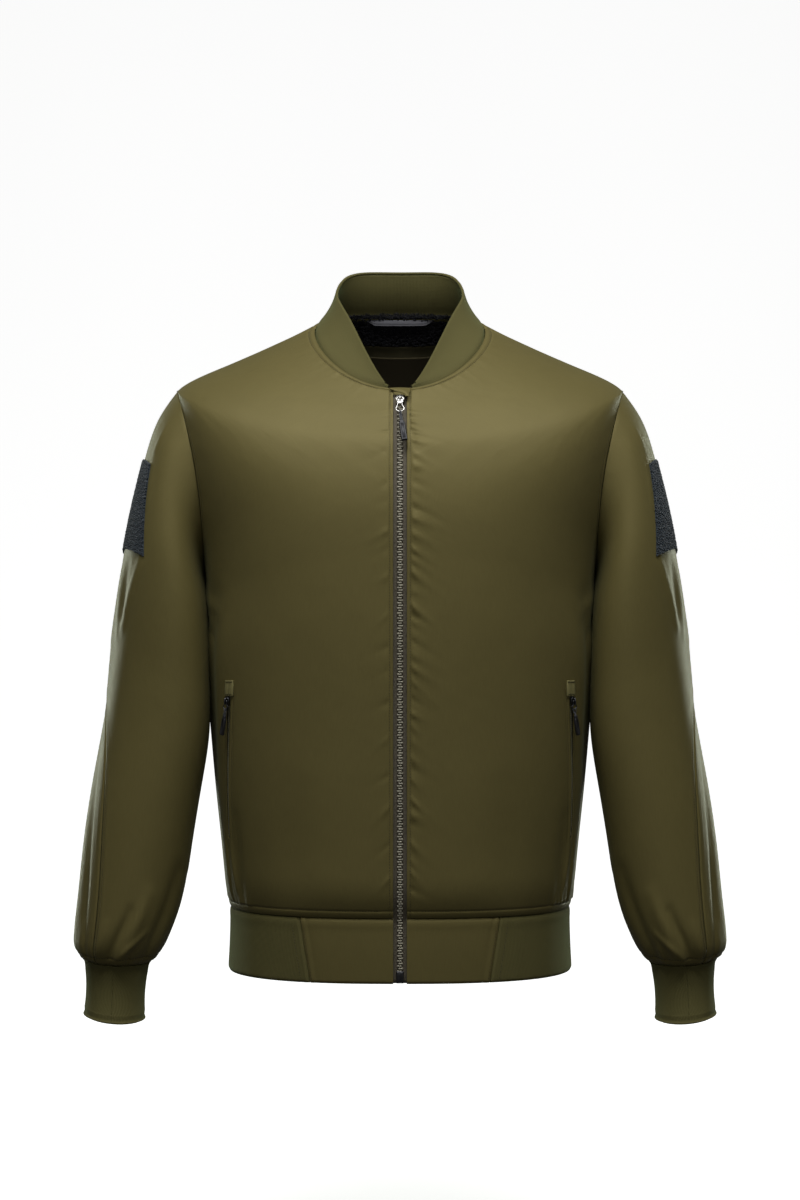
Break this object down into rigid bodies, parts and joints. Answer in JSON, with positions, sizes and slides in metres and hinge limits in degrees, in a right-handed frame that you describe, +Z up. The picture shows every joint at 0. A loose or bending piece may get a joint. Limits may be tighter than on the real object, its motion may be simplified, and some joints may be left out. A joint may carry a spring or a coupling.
{
  "type": "bomber jacket",
  "caption": "Zip-up bomber jacket in smooth nylon with rib collar, cuffs and hem, zipped side pockets and pile sleeve patches, filled out as if worn.",
  "frame": {"origin": "the point between the shoulders on which the jacket hangs when worn: on the centre line, halfway from front to back, level with the inner ends of the shoulder seams", "axes": "+Z up, -Y out of the fronts, +X towards the wearer's left sleeve"},
  "size_m": [0.644, 0.2683, 0.7483],
  "materials": {
    "olive_shell": "smooth nylon with a soft sheen",
    "olive_rib": "fine rib knit",
    "navy_pile": "loop pile",
    "black_fleece": "fleece",
    "grey_tape": "woven tape",
    "dark_olive": "woven lining",
    "taupe_tape": "woven tape",
    "zip_teeth": "moulded",
    "nickel": "bright plated",
    "gunmetal": "dark plated",
    "black_rubber": "matt"
  },
  "bodies": {
    "jacket": {"back": "olive_shell", "collar": "olive_rib", "hem_rib": "olive_rib", "zip_teeth": "zip_teeth", "wind_flap": "olive_shell", "neck_fleece": "black_fleece", "neck_facing": "dark_olive", "neck_label": "dark_olive", "hanger_loop": "grey_tape", "zip_slider": "nickel", "zip_garage": "olive_shell", "zip_stop": "gunmetal", "front_left": "olive_shell", "front_right": "olive_shell", "sleeve_front_left": "olive_shell", "sleeve_front_right": "olive_shell", "sleeve_back_left": "olive_shell", "sleeve_back_right": "olive_shell", "pile_patch_left": "navy_pile", "pile_patch_right": "navy_pile", "cuff_left": "olive_rib", "cuff_right": "olive_rib", "hem_front_left": "olive_shell", "hem_front_right": "olive_shell", "zip_tape_left": "taupe_tape", "zip_tape_right": "taupe_tape", "pocket_tape_left": "taupe_tape", "pocket_tape_right": "taupe_tape", "pocket_teeth_left": "zip_teeth", "pocket_teeth_right": "zip_teeth", "pocket_tab_left": "olive_shell", "pocket_tab_right": "olive_shell", "pocket_slider_left": "gunmetal", "pocket_slider_right": "gunmetal"},
    "zip_pull": {"zip_pull": "black_rubber"},
    "pocket_pull_left": {"pocket_pull_left": "black_rubber"},
    "pocket_pull_right": {"pocket_pull_right": "black_rubber"}
  },
  "joints": [
    {"name": "zip_pull_swing", "type": "hinge", "parent": "jacket", "child": "zip_pull", "pos_m": [0, -0.09186, -0.0768], "axis": [-1, 0, 0], "range_deg": [0, 120]},
    {"name": "pocket_pull_left_swing", "type": "hinge", "parent": "jacket", "child": "pocket_pull_left", "pos_m": [0.16839, -0.08374, -0.36891], "axis": [-0.691, -0.7229, 0], "range_deg": [0, 120]},
    {"name": "pocket_pull_right_swing", "type": "hinge", "parent": "jacket", "child": "pocket_pull_right", "pos_m": [-0.16839, -0.08374, -0.36891], "axis": [-0.691, 0.7229, 0], "range_deg": [0, 120]}
  ]
}
